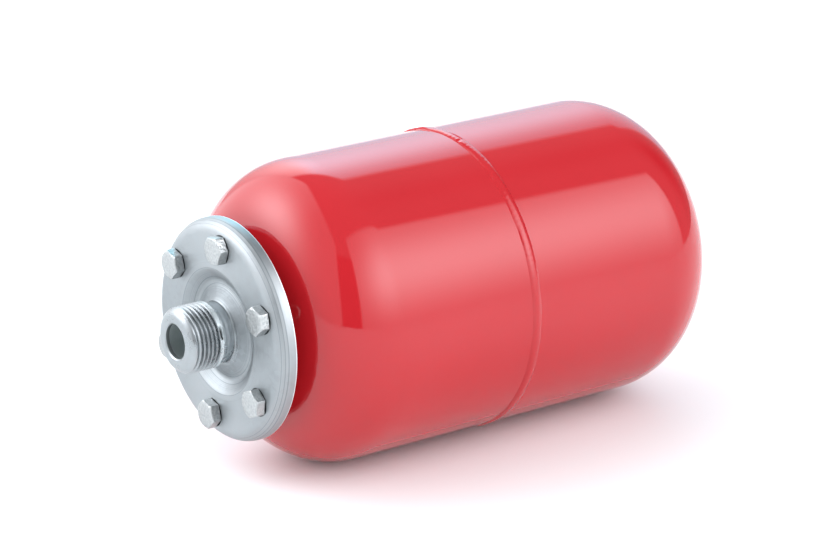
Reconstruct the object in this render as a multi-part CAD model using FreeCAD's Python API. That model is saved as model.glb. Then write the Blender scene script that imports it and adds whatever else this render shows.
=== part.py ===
import FreeCAD, Part
import math
import os

# Small in-line membrane expansion tank, about 4 litres, with a bolted connection flange.
# Millimetres. The tank's axis is X: the water connection points to -X and the gas valve to +X.
# The origin is on the axis, where the connection thread ends towards the flange.

# Connection: pipe thread G 1, drawn in one piece with the flange
thread_radius = 33.249 / 2
thread_depth = 1.479
thread_length = 12.9
thread_end_slope = 0.74
nose_radius = 5.0
nose_lip = 3.95
water_bore_chamfer = 0.6

# Flange, pressed from one sheet
flange_sheet = 2.5
seat_x = 6.5
cone_foot_x = 7.0
cone_foot_fillet = 1.3
cone_width = 9.35
valley_depth = 5.0
valley_back_run = 7.0
valley_fillet = 2.6
seat_inner_fillet = 3.0
seat_inner_margin = 12.1
seat_outer_margin = 12.2
rim_roll_radius = 7.2
rim_skirt = 2.2

# Six hexagon bolts M8
bolt_count = 6
first_bolt_angle = -53.0
bolt_radius = 4.0
bolt_length = 12.0
bolt_tip_chamfer = 0.8
bolt_hole_gap = 0.5
head_across_flats = 13.0
head_height = 5.3
head_chamfer_inset = 0.33
head_chamfer_angle = 30.0
washer_face_inset = 0.7
washer_face_height = 0.4
head_turns = [75.0, 53.0, 79.5, 97.5, 74.0, 65.0]

# Neck ring that the bolts screw into, and its weld
ring_rim_gap = 2.3
ring_thickness = 6.0
thread_gap = 0.05
neck_weld_leg = 2.0

# Pressed steel body
body_radius = 76.5
body_wall = 1.2
straight_length = 165.8
front_knuckle_radius = 41.4
front_crown_radius = 121.5
rear_knuckle_radius = 42.7
rear_crown_radius = 99.6
neck_bolt_gap = 1.1
neck_free_length = 0.31
neck_fillet = 1.5

# Joint of the two halves
seam_offset = 79.45
seam_root_width = 1.6
lap_length = 8.0
lap_gap = 0.1
joggle_length = 1.85
edge_bevel = 1.85
edge_land = 0.4
bead_height = 0.9

# Rubber bladder
bladder_wall = 1.8
lip_thickness = 2.0
lip_bolt_gap = 0.3
bladder_neck_gap = 0.5
bladder_neck_fillet = 6.0
bladder_shoulder_clearance = 2.7
bladder_shoulder_length = 26.0
bladder_shoulder_fillet = 12.0
bladder_gas_gap = 12.0
bladder_end_inset = 2.3
bladder_end_fillet = 50.0

# Gas valve in the rear dome, with an 8V1 head
valve_seat_radius = 12.0
stem_wall = 1.25
stem_shoulder_step = 1.15
stem_hole_gap = 0.15
stem_head_radius = 9.0
stem_head_thickness = 2.0
valve_gasket_radius = 8.5
valve_gasket_thickness = 1.5
valve_washer_radius = 9.5
valve_washer_thickness = 1.0
valve_nut_across_flats = 14.0
valve_nut_height = 4.0
stem_end_past_nut = 1.5
valve_thread_length = 11.0
valve_thread_chamfer = 0.4

# Valve core
pin_radius = 0.5
pin_gap = 0.08
pin_tip_recess = 0.15
pin_tip_fillet = 0.2
pin_collar_side_gap = 0.2
pin_collar_thickness = 0.6
pin_collar_gap = 0.3
pin_head_rim = 0.3
pin_head_thickness = 0.4
spring_room = 0.65
spring_wire_radius = 0.11
spring_turns = 7
barrel_wall = 0.65
barrel_length = 8.0
barrel_floor = 1.0
barrel_lip_width = 0.15
cup_side_gap = 0.45
cup_wall = 0.15
cup_floor = 0.4
cup_rim_height = 0.6
cup_seal_thickness = 1.0
core_side_gap = 0.35
core_seal_step = 0.45
core_taper_length = 1.2
core_recess = 1.0
plug_length = 4.5
plug_flat_depth = 0.9
rest_gap = 0.02

# Dust cap
cap_bore_gap = 0.08
cap_wall = 1.47
cap_roof = 1.6
cap_edge_fillet = 1.0
cap_mouth_gap = 0.6
cap_flute_count = 16
cap_flute_radius = 0.6
cap_flute_depth = 0.35
cap_gasket_side_gap = 0.33
cap_gasket_thickness = 1.2

# Tools that cut reach this far past the piece they cut
cut_margin = 1.0

# Radii of the flange, from the thread outwards
thread_root_radius = thread_radius - thread_depth
nipple_inner_radius = thread_root_radius - flange_sheet
water_bore_radius = nipple_inner_radius - nose_lip
valley_radius = thread_root_radius + cone_width
seat_inner_radius = valley_radius + valley_back_run
bolt_circle_radius = seat_inner_radius + seat_inner_margin
flange_radius = bolt_circle_radius + seat_outer_margin
bolt_hole_radius = bolt_radius + bolt_hole_gap

# Radii of the neck, its ring and the bladder
ring_radius = flange_radius - flange_sheet - ring_rim_gap
neck_radius = bolt_circle_radius - bolt_radius - neck_weld_leg - neck_bolt_gap
lip_radius = bolt_circle_radius - bolt_hole_radius - lip_bolt_gap
bladder_neck_radius = neck_radius - body_wall - bladder_neck_gap
bladder_radius = body_radius - body_wall - lap_gap - body_wall - bladder_gas_gap

# Radii of the valve, from its pin outwards
barrel_bore_radius = pin_radius + spring_room
barrel_radius = barrel_bore_radius + barrel_wall
core_bore_radius = barrel_radius + core_side_gap
core_thread_radius = core_bore_radius + core_seal_step
valve_thread_radius = core_thread_radius + stem_wall
stem_radius = valve_thread_radius + stem_shoulder_step
cup_radius = core_bore_radius - cup_side_gap
cap_bore_radius = valve_thread_radius + cap_bore_gap
cap_radius = cap_bore_radius + cap_wall

# Places along the axis
nipple_end_x = -(thread_length + nose_radius)
flange_back_x = seat_x + flange_sheet
ring_front_x = flange_back_x + lip_thickness
ring_back_x = ring_front_x + ring_thickness
neck_fillet_x = ring_back_x + neck_weld_leg + neck_free_length


def crown_centre_reach(crown, knuckle):
    """Distance from a dome's tangent line to the centre of its crown."""
    return math.sqrt((crown - knuckle) ** 2 - (body_radius - knuckle) ** 2)


neck_fillet_reach = math.sqrt((front_crown_radius + neck_fillet) ** 2 - (neck_radius + neck_fillet) ** 2)
front_crown_x = neck_fillet_x + neck_fillet_reach
front_tangent_x = front_crown_x - crown_centre_reach(front_crown_radius, front_knuckle_radius)
rear_tangent_x = front_tangent_x + straight_length
rear_crown_x = rear_tangent_x - crown_centre_reach(rear_crown_radius, rear_knuckle_radius)
seam_x = front_tangent_x + seam_offset
valve_seat_x = rear_crown_x + math.sqrt(rear_crown_radius ** 2 - valve_seat_radius ** 2)
stem_hole_radius = stem_radius + stem_hole_gap
stem_head_x = valve_seat_x - body_wall - valve_gasket_thickness
nut_x = valve_seat_x + valve_washer_thickness
stem_shoulder_x = nut_x + valve_nut_height + stem_end_past_nut
stem_end_x = stem_shoulder_x + valve_thread_length
plug_x = stem_end_x - core_recess - plug_length
barrel_x = plug_x - barrel_length
cup_seal_x = barrel_x - rest_gap - cup_seal_thickness
pin_collar_x = plug_x - pin_collar_gap - pin_collar_thickness


def point(x, radius):
    return FreeCAD.Vector(x, radius, 0)


def line(start, end):
    return Part.LineSegment(start, end).toShape()


def arc_about(centre, start, end):
    """Arc of under half a turn about a centre."""
    middle = (start + end) * 0.5 - centre
    middle.normalize()
    return Part.Arc(start, centre + middle * start.distanceToPoint(centre), end).toShape()


def rounded(corners, closed=True):
    """Edges through corners (x, radius, fillet); a fillet of 0 leaves the corner sharp."""
    ends = () if closed else (0, len(corners) - 1)
    turns = []
    for index, (x, radius, fillet) in enumerate(corners):
        corner = point(x, radius)
        if fillet == 0 or index in ends:
            turns.append((corner, None, corner))
            continue
        back = point(*corners[index - 1][:2]) - corner
        ahead = point(*corners[(index + 1) % len(corners)][:2]) - corner
        back.normalize()
        ahead.normalize()
        half = back.getAngle(ahead) / 2
        bisector = back + ahead
        bisector.normalize()
        reach = fillet / math.tan(half)
        centre = corner + bisector * (fillet / math.sin(half))
        turns.append((corner + back * reach, centre, corner + ahead * reach))
    edges = []
    for index, (enter, centre, leave) in enumerate(turns):
        if index > 0 and turns[index - 1][2].distanceToPoint(enter) > 1e-7:
            edges.append(line(turns[index - 1][2], enter))
        if centre:
            edges.append(arc_about(centre, enter, leave))
    if closed and turns[-1][2].distanceToPoint(turns[0][0]) > 1e-7:
        edges.append(line(turns[-1][2], turns[0][0]))
    return edges


def offset(corners, distance):
    """An open outline moved to its right-hand side, with its fillets kept concentric."""
    moved = []
    last = len(corners) - 1
    for index, (x, radius, fillet) in enumerate(corners):
        first = max(index - 1, 0)
        second = min(index, last - 1)
        before = point(*corners[first + 1][:2]) - point(*corners[first][:2])
        after = point(*corners[second + 1][:2]) - point(*corners[second][:2])
        before.normalize()
        after.normalize()
        right_before = point(before.y, -before.x)
        right_after = point(after.y, -after.x)
        shift = (right_before + right_after) * (distance / (1 + right_before.dot(right_after)))
        turns_left = before.x * after.y > before.y * after.x
        if fillet > 0:
            fillet = fillet + distance if turns_left else max(fillet - distance, 0)
        moved.append((x + shift.x, radius + shift.y, fillet))
    return moved


def spun(edges):
    """Solid of a closed outline turned once round the tank's axis."""
    face = Part.Face(Part.Wire(edges))
    return face.revolve(FreeCAD.Vector(0, 0, 0), FreeCAD.Vector(1, 0, 0), 360)


def ring(start_x, end_x, inner, outer):
    corners = [(start_x, inner, 0), (start_x, outer, 0), (end_x, outer, 0), (end_x, inner, 0)]
    return spun(rounded(corners))


def rod(start_x, end_x, radius, y=0, z=0):
    return Part.makeCylinder(radius, end_x - start_x, FreeCAD.Vector(start_x, y, z), FreeCAD.Vector(1, 0, 0))


def hexagon(start_x, end_x, across_flats):
    """Hexagonal bar along X with two of its flats facing up and down."""
    corner_radius = across_flats / math.sqrt(3)
    corners = []
    for index in range(7):
        angle = math.radians(30 + 60 * index)
        corners.append(FreeCAD.Vector(start_x, -corner_radius * math.sin(angle), corner_radius * math.cos(angle)))
    return Part.Face(Part.makePolygon(corners)).extrude(FreeCAD.Vector(end_x - start_x, 0, 0))


def hexagon_chamfer(start_x, end_x, across_flats, both_ends):
    """Blank whose ends are turned down to a circle, to trim a hexagonal bar."""
    face_radius = across_flats / 2 - head_chamfer_inset
    full_radius = across_flats / math.sqrt(3) + cut_margin
    depth = (full_radius - face_radius) * math.tan(math.radians(head_chamfer_angle))
    corners = [(start_x, 0, 0), (start_x, face_radius, 0), (start_x + depth, full_radius, 0)]
    if both_ends:
        corners += [(end_x - depth, full_radius, 0), (end_x, face_radius, 0), (end_x, 0, 0)]
    else:
        corners += [(end_x, full_radius, 0), (end_x, 0, 0)]
    return spun(rounded(corners))


def bolt_places():
    """Height and side of each bolt, clockwise as seen from the connection."""
    places = []
    for index in range(bolt_count):
        angle = math.radians(first_bolt_angle + index * 360 / bolt_count)
        places.append((-bolt_circle_radius * math.sin(angle), bolt_circle_radius * math.cos(angle)))
    return places


def bolt_holes(start_x, end_x, radius):
    rods = [rod(start_x - cut_margin, end_x + cut_margin, radius, y, z) for y, z in bolt_places()]
    return Part.makeCompound(rods)


def flange():
    front = [
        (thread_end_slope, thread_root_radius, 0),
        (cone_foot_x, thread_root_radius, cone_foot_fillet),
        (seat_x + valley_depth, valley_radius, valley_fillet),
        (seat_x, seat_inner_radius, seat_inner_fillet),
        (seat_x, flange_radius, rim_roll_radius),
        (seat_x + rim_roll_radius + rim_skirt, flange_radius, 0),
    ]
    back = offset(front, flange_sheet)
    nipple = [
        (nipple_end_x + flange_sheet, nipple_inner_radius, flange_sheet),
        (nipple_end_x + flange_sheet, water_bore_radius, 0),
        (nipple_end_x + water_bore_chamfer, water_bore_radius, 0),
        (nipple_end_x, water_bore_radius + water_bore_chamfer, 0),
        (nipple_end_x, thread_radius, nose_radius),
        (0, thread_radius, 0),
    ]
    body = spun(rounded(front + back[:0:-1] + nipple))
    return body.cut(bolt_holes(seat_x, flange_back_x, bolt_hole_radius))


def hexagon_bolt():
    """One bolt along X, its head bearing on the plane x = 0."""
    bar_end = -washer_face_height
    head = hexagon(-head_height, bar_end, head_across_flats)
    head = head.common(hexagon_chamfer(-head_height, bar_end, head_across_flats, False))
    washer_face_radius = head_across_flats / 2 - washer_face_inset
    shank_corners = [
        (bar_end - washer_face_height, 0, 0),
        (bar_end - washer_face_height, washer_face_radius, 0),
        (0, washer_face_radius, 0),
        (0, bolt_radius, 0),
        (bolt_length - bolt_tip_chamfer, bolt_radius, 0),
        (bolt_length, bolt_radius - bolt_tip_chamfer, 0),
        (bolt_length, 0, 0),
    ]
    return head.fuse(spun(rounded(shank_corners))).removeSplitter()


def flange_bolts():
    bolts = []
    for (y, z), turn in zip(bolt_places(), head_turns):
        bolt = hexagon_bolt()
        bolt.rotate(FreeCAD.Vector(0, 0, 0), FreeCAD.Vector(1, 0, 0), turn)
        bolt.translate(FreeCAD.Vector(seat_x, y, z))
        bolts.append(bolt)
    return Part.makeCompound(bolts)


def neck_ring():
    plate = ring(ring_front_x, ring_back_x, neck_radius, ring_radius)
    return plate.cut(bolt_holes(ring_front_x, ring_back_x, bolt_radius + thread_gap))


def neck_weld():
    corners = [
        (ring_back_x, neck_radius, 0),
        (ring_back_x, neck_radius + neck_weld_leg, 0),
        (ring_back_x + neck_weld_leg, neck_radius, 0),
    ]
    return spun(rounded(corners))


def front_half():
    """Drawn half with its neck: one skin, bevelled at its open edge for the weld."""
    crown = point(front_crown_x, 0)
    knuckle = point(front_tangent_x, body_radius - front_knuckle_radius)
    fillet = point(neck_fillet_x, neck_radius + neck_fillet)
    edge_x = seam_x - seam_root_width / 2
    bevel_x = edge_x - edge_bevel

    def skin(depth, end_x):
        to_knuckle = knuckle - crown
        to_knuckle.normalize()
        to_fillet = fillet - crown
        to_fillet.normalize()
        joint = crown + to_knuckle * (front_crown_radius - depth)
        foot = crown + to_fillet * (front_crown_radius - depth)
        tangent = point(front_tangent_x, body_radius - depth)
        neck_start = point(neck_fillet_x, neck_radius - depth)
        return [
            line(point(end_x, body_radius - depth), tangent),
            arc_about(knuckle, tangent, joint),
            arc_about(crown, joint, foot),
            arc_about(fillet, foot, neck_start),
            line(neck_start, point(ring_front_x, neck_radius - depth)),
        ]

    outer = skin(0, bevel_x)
    inner = skin(body_wall, edge_x)
    neck_edge = line(point(ring_front_x, neck_radius), point(ring_front_x, neck_radius - body_wall))
    land_top = point(edge_x, body_radius - body_wall + edge_land)
    land = line(point(edge_x, body_radius - body_wall), land_top)
    bevel = line(land_top, point(bevel_x, body_radius))
    return spun(outer + [neck_edge] + inner[::-1] + [land, bevel])


def rear_half():
    """Drawn half with a joggled edge that slips inside the front half."""
    crown = point(rear_crown_x, 0)
    knuckle = point(rear_tangent_x, body_radius - rear_knuckle_radius)
    step = body_wall + lap_gap
    joggle = [
        (seam_x - seam_root_width / 2 - lap_length, body_radius - step, 0),
        (seam_x + seam_root_width / 2, body_radius - step, 0),
        (seam_x + seam_root_width / 2 + joggle_length, body_radius, 0),
        (rear_tangent_x, body_radius, 0),
    ]

    def skin(depth, edge_corners):
        to_knuckle = knuckle - crown
        to_knuckle.normalize()
        joint = crown + to_knuckle * (rear_crown_radius - depth)
        tangent = point(rear_tangent_x, body_radius - depth)
        flat_x = valve_seat_x - depth
        flat_radius = math.sqrt((rear_crown_radius - depth) ** 2 - (flat_x - rear_crown_x) ** 2)
        flat_edge = point(flat_x, flat_radius)
        return rounded(edge_corners, closed=False) + [
            arc_about(knuckle, tangent, joint),
            arc_about(crown, joint, flat_edge),
            line(flat_edge, point(flat_x, stem_hole_radius)),
        ]

    inner_joggle = offset(joggle, body_wall)
    outer = skin(0, joggle)
    inner = skin(body_wall, inner_joggle)
    hole_edge = line(point(valve_seat_x, stem_hole_radius), point(valve_seat_x - body_wall, stem_hole_radius))
    lap_edge = line(point(*inner_joggle[0][:2]), point(*joggle[0][:2]))
    return spun(outer + [hole_edge] + inner[::-1] + [lap_edge])


def girth_weld():
    """Weld bead over the seam, filling the groove between the bevelled edge and the joggle."""
    root_start = seam_x - seam_root_width / 2
    root_end = seam_x + seam_root_width / 2
    root_radius = body_radius - body_wall - lap_gap
    start = point(root_start - edge_bevel, body_radius)
    end = point(root_end + joggle_length, body_radius)
    floor = [
        start,
        point(root_start, body_radius - body_wall + edge_land),
        point(root_start, root_radius),
        point(root_end, root_radius),
        end,
    ]
    edges = [line(a, b) for a, b in zip(floor, floor[1:])]
    crown = Part.Arc(end, point(seam_x, body_radius + bead_height), start).toShape()
    return spun(edges + [crown])


def bladder():
    shoulder_start = neck_fillet_x + neck_fillet + body_wall + bladder_shoulder_clearance
    shoulder_end = shoulder_start + bladder_shoulder_length
    end_x = rear_tangent_x - bladder_end_inset
    outer = [
        (ring_front_x, lip_radius, 0),
        (ring_front_x, bladder_neck_radius, 0),
        (shoulder_start, bladder_neck_radius, bladder_neck_fillet),
        (shoulder_end, bladder_radius, bladder_shoulder_fillet),
        (end_x, bladder_radius, bladder_end_fillet),
        (end_x, 0, 0),
    ]
    inner = offset(outer[1:], bladder_wall)
    mouth = bladder_neck_radius - bladder_wall
    lip = [(flange_back_x, mouth, 0), (flange_back_x, lip_radius, 0)]
    return spun(rounded(outer + inner[:0:-1] + lip))


def valve_stem():
    corners = [
        (stem_head_x - stem_head_thickness, core_bore_radius, 0),
        (stem_head_x - stem_head_thickness, stem_head_radius, 0),
        (stem_head_x, stem_head_radius, 0),
        (stem_head_x, stem_radius, 0),
        (stem_shoulder_x, stem_radius, 0),
        (stem_shoulder_x, valve_thread_radius, 0),
        (stem_end_x - valve_thread_chamfer, valve_thread_radius, 0),
        (stem_end_x, valve_thread_radius - valve_thread_chamfer, 0),
        (stem_end_x, core_thread_radius, 0),
        (plug_x, core_thread_radius, 0),
        (plug_x - core_taper_length, core_bore_radius, 0),
    ]
    return spun(rounded(corners))


def valve_gasket():
    return ring(stem_head_x, valve_seat_x - body_wall, stem_radius, valve_gasket_radius)


def valve_washer():
    return ring(valve_seat_x, nut_x, stem_hole_radius, valve_washer_radius)


def valve_nut():
    end_x = nut_x + valve_nut_height
    nut = hexagon(nut_x, end_x, valve_nut_across_flats)
    nut = nut.common(hexagon_chamfer(nut_x, end_x, valve_nut_across_flats, True))
    return nut.cut(rod(nut_x - cut_margin, end_x + cut_margin, stem_radius + thread_gap))


def core_plug():
    """Threaded head of the core, flattened on two sides to let the gas pass."""
    plug = ring(plug_x, plug_x + plug_length, pin_radius + pin_gap, core_thread_radius - thread_gap)
    half_width = core_thread_radius - plug_flat_depth
    slab = Part.makeBox(plug_length, 2 * core_thread_radius, 2 * half_width)
    slab.translate(FreeCAD.Vector(plug_x, -core_thread_radius, -half_width))
    return plug.common(slab)


def core_barrel():
    corners = [
        (barrel_x, pin_radius + pin_gap, 0),
        (barrel_x, barrel_bore_radius + barrel_lip_width, 0),
        (barrel_x + barrel_floor, barrel_radius, 0),
        (plug_x, barrel_radius, 0),
        (plug_x, barrel_bore_radius, 0),
        (barrel_x + barrel_floor, barrel_bore_radius, 0),
        (barrel_x + barrel_floor, pin_radius + pin_gap, 0),
    ]
    return spun(rounded(corners))


def core_seal():
    """Seal ring pressed into the taper between barrel and stem."""
    corners = [
        (plug_x - core_taper_length, barrel_radius, 0),
        (plug_x - core_taper_length, core_bore_radius, 0),
        (plug_x, core_thread_radius, 0),
        (plug_x, barrel_radius, 0),
    ]
    return spun(rounded(corners))


def core_pin():
    cup_x = cup_seal_x - cup_floor
    pin_head_radius = pin_radius + pin_head_rim
    pin_collar_radius = barrel_bore_radius - pin_collar_side_gap
    corners = [
        (cup_x - pin_head_thickness, 0, 0),
        (cup_x - pin_head_thickness, pin_head_radius, 0),
        (cup_x, pin_head_radius, 0),
        (cup_x, pin_radius, 0),
        (pin_collar_x, pin_radius, 0),
        (pin_collar_x, pin_collar_radius, 0),
        (pin_collar_x + pin_collar_thickness, pin_collar_radius, 0),
        (pin_collar_x + pin_collar_thickness, pin_radius, 0),
        (stem_end_x - pin_tip_recess, pin_radius, pin_tip_fillet),
        (stem_end_x - pin_tip_recess, 0, 0),
    ]
    return spun(rounded(corners))


def core_cup():
    corners = [
        (cup_seal_x - cup_floor, pin_radius, 0),
        (cup_seal_x - cup_floor, cup_radius, 0),
        (cup_seal_x + cup_rim_height, cup_radius, 0),
        (cup_seal_x + cup_rim_height, cup_radius - cup_wall, 0),
        (cup_seal_x, cup_radius - cup_wall, 0),
        (cup_seal_x, pin_radius, 0),
    ]
    return spun(rounded(corners))


def core_cup_seal():
    return ring(cup_seal_x, cup_seal_x + cup_seal_thickness, pin_radius, cup_radius - cup_wall)


def core_spring():
    """Coil between the barrel's floor and the pin's collar."""
    start_x = barrel_x + barrel_floor + spring_wire_radius + rest_gap
    length = pin_collar_x - rest_gap - spring_wire_radius - start_x
    spring_mean_radius = (pin_radius + barrel_bore_radius) / 2
    helix = Part.makeHelix(length / spring_turns, length, spring_mean_radius)
    wire_centre = FreeCAD.Vector(spring_mean_radius, 0, 0)
    section = Part.Wire(Part.makeCircle(spring_wire_radius, wire_centre, FreeCAD.Vector(0, 1, 0)))
    coil = Part.Wire(helix).makePipeShell([section], True, True)
    coil.rotate(FreeCAD.Vector(0, 0, 0), FreeCAD.Vector(0, 1, 0), 90)
    coil.translate(FreeCAD.Vector(start_x, 0, 0))
    return coil


def cap_gasket():
    start_x = stem_end_x + rest_gap
    return rod(start_x, start_x + cap_gasket_thickness, cap_bore_radius - cap_gasket_side_gap)


def valve_cap():
    mouth_x = stem_shoulder_x + cap_mouth_gap
    roof_x = stem_end_x + rest_gap + cap_gasket_thickness
    end_x = roof_x + cap_roof
    corners = [
        (mouth_x, cap_bore_radius, 0),
        (mouth_x, cap_radius, 0),
        (end_x, cap_radius, cap_edge_fillet),
        (end_x, 0, 0),
        (roof_x, 0, 0),
        (roof_x, cap_bore_radius, 0),
    ]
    cap = spun(rounded(corners))
    centre_radius = cap_radius + cap_flute_radius - cap_flute_depth
    flutes = []
    for index in range(cap_flute_count):
        angle = 2 * math.pi * index / cap_flute_count
        y = centre_radius * math.cos(angle)
        z = centre_radius * math.sin(angle)
        flutes.append(rod(mouth_x - cut_margin, end_x - cap_edge_fillet, cap_flute_radius, y, z))
    return cap.cut(Part.makeCompound(flutes))


nodes = [
    front_half, rear_half, girth_weld, neck_ring, neck_weld, bladder, flange, flange_bolts,
    valve_stem, valve_gasket, valve_washer, valve_nut, core_plug, core_barrel, core_seal,
    core_pin, core_cup, core_cup_seal, core_spring, cap_gasket, valve_cap,
]

os.makedirs("parts", exist_ok=True)
for build in nodes:
    shape = build()
    shape.exportStep("parts/" + build.__name__ + ".step")
    print(build.__name__, len(shape.Solids), "solids", round(shape.Volume, 1), "mm3", shape.isValid())
print("inside volume about", round(math.pi * (body_radius - body_wall) ** 2 * straight_length / 1e6, 2), "l plus domes")
print("tangents", round(front_tangent_x, 2), round(rear_tangent_x, 2), "seam", round(seam_x, 2), "end", round(stem_end_x, 2))
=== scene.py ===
import math

import bmesh
import bpy
from mathutils import Matrix, Vector, noise


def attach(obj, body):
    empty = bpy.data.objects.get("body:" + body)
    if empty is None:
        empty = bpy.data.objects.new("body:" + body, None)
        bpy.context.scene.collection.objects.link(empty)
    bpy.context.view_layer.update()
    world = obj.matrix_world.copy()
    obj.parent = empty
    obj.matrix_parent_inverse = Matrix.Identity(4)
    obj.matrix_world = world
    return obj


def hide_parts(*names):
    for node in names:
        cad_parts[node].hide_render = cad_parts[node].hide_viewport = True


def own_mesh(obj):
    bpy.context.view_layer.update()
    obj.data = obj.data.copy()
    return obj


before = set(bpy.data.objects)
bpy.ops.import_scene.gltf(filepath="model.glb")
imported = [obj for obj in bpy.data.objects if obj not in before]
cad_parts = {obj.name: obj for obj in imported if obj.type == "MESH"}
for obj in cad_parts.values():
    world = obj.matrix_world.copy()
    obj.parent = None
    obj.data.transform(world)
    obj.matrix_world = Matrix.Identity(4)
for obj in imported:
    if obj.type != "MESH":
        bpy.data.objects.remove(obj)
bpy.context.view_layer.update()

# Sizes in millimetres, as the tank is built. The axis is X, the connection points to -X.
MM = 0.001
BODY_RADIUS = 76.5
BODY_WALL = 1.2
FRONT_TANGENT_X = 64.294
REAR_TANGENT_X = 230.094
FRONT_KNUCKLE, FRONT_CROWN = 41.4, 121.5
REAR_KNUCKLE, REAR_CROWN = 42.7, 99.6
NECK_RADIUS = 36.5
NECK_FILLET = 1.5
NECK_FILLET_X = 19.31
RING_FRONT_X, RING_BACK_X = 11.0, 17.0
SEAM_X = 143.744
SEAM_ROOT = 1.6
SEAM_SLOPE = 1.85
LAP_LENGTH = 8.0
LAP_GAP = 0.1

# The weld's section: (distance from its middle, height over the wall), from its toe inwards
BEAD_SIDE = ((3.4, -0.25), (2.65, 0.02), (2.2, 0.34), (1.2, 0.74))
BEAD_TOP = 0.87
# No lump in it rises over BEAD_LIMIT. It starts and stops at clock angles in degrees.
BEAD_LIMIT = 0.88
BEAD_STEPS = 960
WELD_START, WELD_STOP = -12.0, 9.5

THREAD_RADIUS = 16.6245
THREAD_PITCH = 2.309
THREAD_DEPTH = 1.479
THREAD_LENGTH = 12.9
THREAD_END = 0.74
THREAD_START_X, THREAD_TURNS = -20.909, 10
# The thread's groove passes GROOVE_X at the clock angle GROOVE_CLOCK. Counted in degrees from
# the top of that turn, it runs out on a land, then starts and stops again as a short pocket.
GROOVE_X, GROOVE_CLOCK = -2.95, 100.0
RUN_OUT = (235, 320)
POCKET_STARTS, POCKET_STOPS, POCKET_DEPTH = (418, 430), (438, 441), 0.7
LAND_DEPTH, LAND_SLOPE_LENGTH = 0.45, 2.3
NOSE_RADIUS = 5.0
NOSE_TIP_X, NOSE_SEAM_X = -17.9, -16.6
BORE_FLOOR_X = -15.4
NIPPLE_INNER = 12.6455
WATER_BORE = 8.6955
SHEET = 2.5
CONE_FOOT_X = 7.0
VALLEY_X, VALLEY_RADIUS = 11.5, 24.4955
SEAT_X = 6.5
SEAT_INNER_RADIUS = 31.4955
BOLT_CIRCLE = 43.5955
FLANGE_RADIUS = 55.7955
RIM_ROLL = 7.2
RIM_END_X = 15.9

BOLT_TURNS = (75.0, 53.0, 79.5, 97.5, 74.0, 65.0)
FIRST_BOLT, BOLT_SPACING = -53.0, 60.0
HEAD_FLATS = 13.0
HEAD_HEIGHT = 5.3
HEAD_FACE_RADIUS, HEAD_DISH_RADIUS = 6.17, 3.0
WASHER_FACE_RADIUS = 5.8
WASHER_FACE_HEIGHT = 0.4
BOLT_RADIUS = 4.0
BOLT_LENGTH = 12.0
BOLT_POINT = 0.8

VALVE_SEAT_X, VALVE_SEAT_RADIUS = 283.166, 12.0
STEM_HOLE = 5.15


# Building shapes

def place(x, radius):
    """A point of an outline, in the upright plane through the axis."""
    return Vector((x * MM, 0.0, radius * MM))


class Outline:
    """A wire of straight runs and round arcs, later turned about the tank's axis."""

    def __init__(self, x, radius, fineness=4.0):
        self.mesh = bmesh.new()
        self.tip = self.mesh.verts.new(place(x, radius))
        self.fineness = fineness

    def line(self, x, radius, cuts=0):
        start = self.tip.co.copy()
        end = place(x, radius)
        for index in range(1, cuts + 2):
            vert = self.mesh.verts.new(start.lerp(end, index / (cuts + 1)))
            self.mesh.edges.new((self.tip, vert))
            self.tip = vert
        return self

    def lines(self, *points):
        """Runs straight through points (x, radius)."""
        for x, radius in points:
            self.line(x, radius)
        return self

    def arc(self, x, radius, degrees):
        """Swings the tip about a centre; a positive turn goes from the axis towards the rim."""
        steps = max(2, math.ceil(abs(degrees) / self.fineness))
        swept = bmesh.ops.spin(
            self.mesh, geom=[self.tip], cent=place(x, radius), axis=(0, -1, 0),
            angle=math.radians(degrees), steps=steps, use_merge=False, use_duplicate=False)
        self.tip = next(item for item in swept["geom_last"] if isinstance(item, bmesh.types.BMVert))
        return self

    def path(self, corners):
        """Runs through corners (x, radius, fillet), rounding each one that has a fillet."""
        points = [Vector((self.tip.co.x / MM, self.tip.co.z / MM))]
        points += [Vector(corner[:2]) for corner in corners]
        for index, (x, radius, fillet) in enumerate(corners, start=1):
            here = points[index]
            if fillet == 0 or index == len(points) - 1:
                self.line(x, radius)
                continue
            before = (here - points[index - 1]).normalized()
            after = (points[index + 1] - here).normalized()
            turn = math.atan2(before.x * after.y - before.y * after.x, before.dot(after))
            enter = here - before * (fillet * math.tan(abs(turn) / 2))
            side = Vector((-before.y, before.x)) * math.copysign(fillet, turn)
            self.line(*enter)
            self.arc(*(enter + side), math.degrees(turn))
        return self


def tidy(mesh, sharp=32.0):
    """Merges doubles, turns the faces outwards and keeps only real corners sharp."""
    bmesh.ops.remove_doubles(mesh, verts=mesh.verts, dist=2e-7)
    bmesh.ops.dissolve_degenerate(mesh, dist=1e-8, edges=mesh.edges)
    bmesh.ops.recalc_face_normals(mesh, faces=mesh.faces)
    for face in mesh.faces:
        face.smooth = True
    for edge in mesh.edges:
        edge.smooth = edge.is_manifold and edge.calc_face_angle(0.0) < math.radians(sharp)


def turn(mesh, steps):
    """Turns a wire once about the axis."""
    bmesh.ops.spin(
        mesh, geom=mesh.verts[:] + mesh.edges[:], cent=(0, 0, 0), axis=(1, 0, 0),
        angle=math.tau, steps=steps, use_merge=True, use_duplicate=False)


def piece(name, mesh, material, body, *nodes, slot=None):
    """Makes the finished mesh a piece that rides on its body and stands for the solids."""
    data = bpy.data.meshes.new(name)
    mesh.to_mesh(data)
    mesh.free()
    data.materials.append(material)
    made = bpy.data.objects.new(name, data)
    bpy.context.scene.collection.objects.link(made)
    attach(made, body)
    if nodes:
        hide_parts(*nodes)
    return made


def turned(name, outline, steps, material, body, *nodes, slot=None, sharp=32.0):
    turn(outline.mesh, steps)
    tidy(outline.mesh, sharp)
    return piece(name, outline.mesh, material, body, *nodes, slot=slot)


# Finishes

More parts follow.
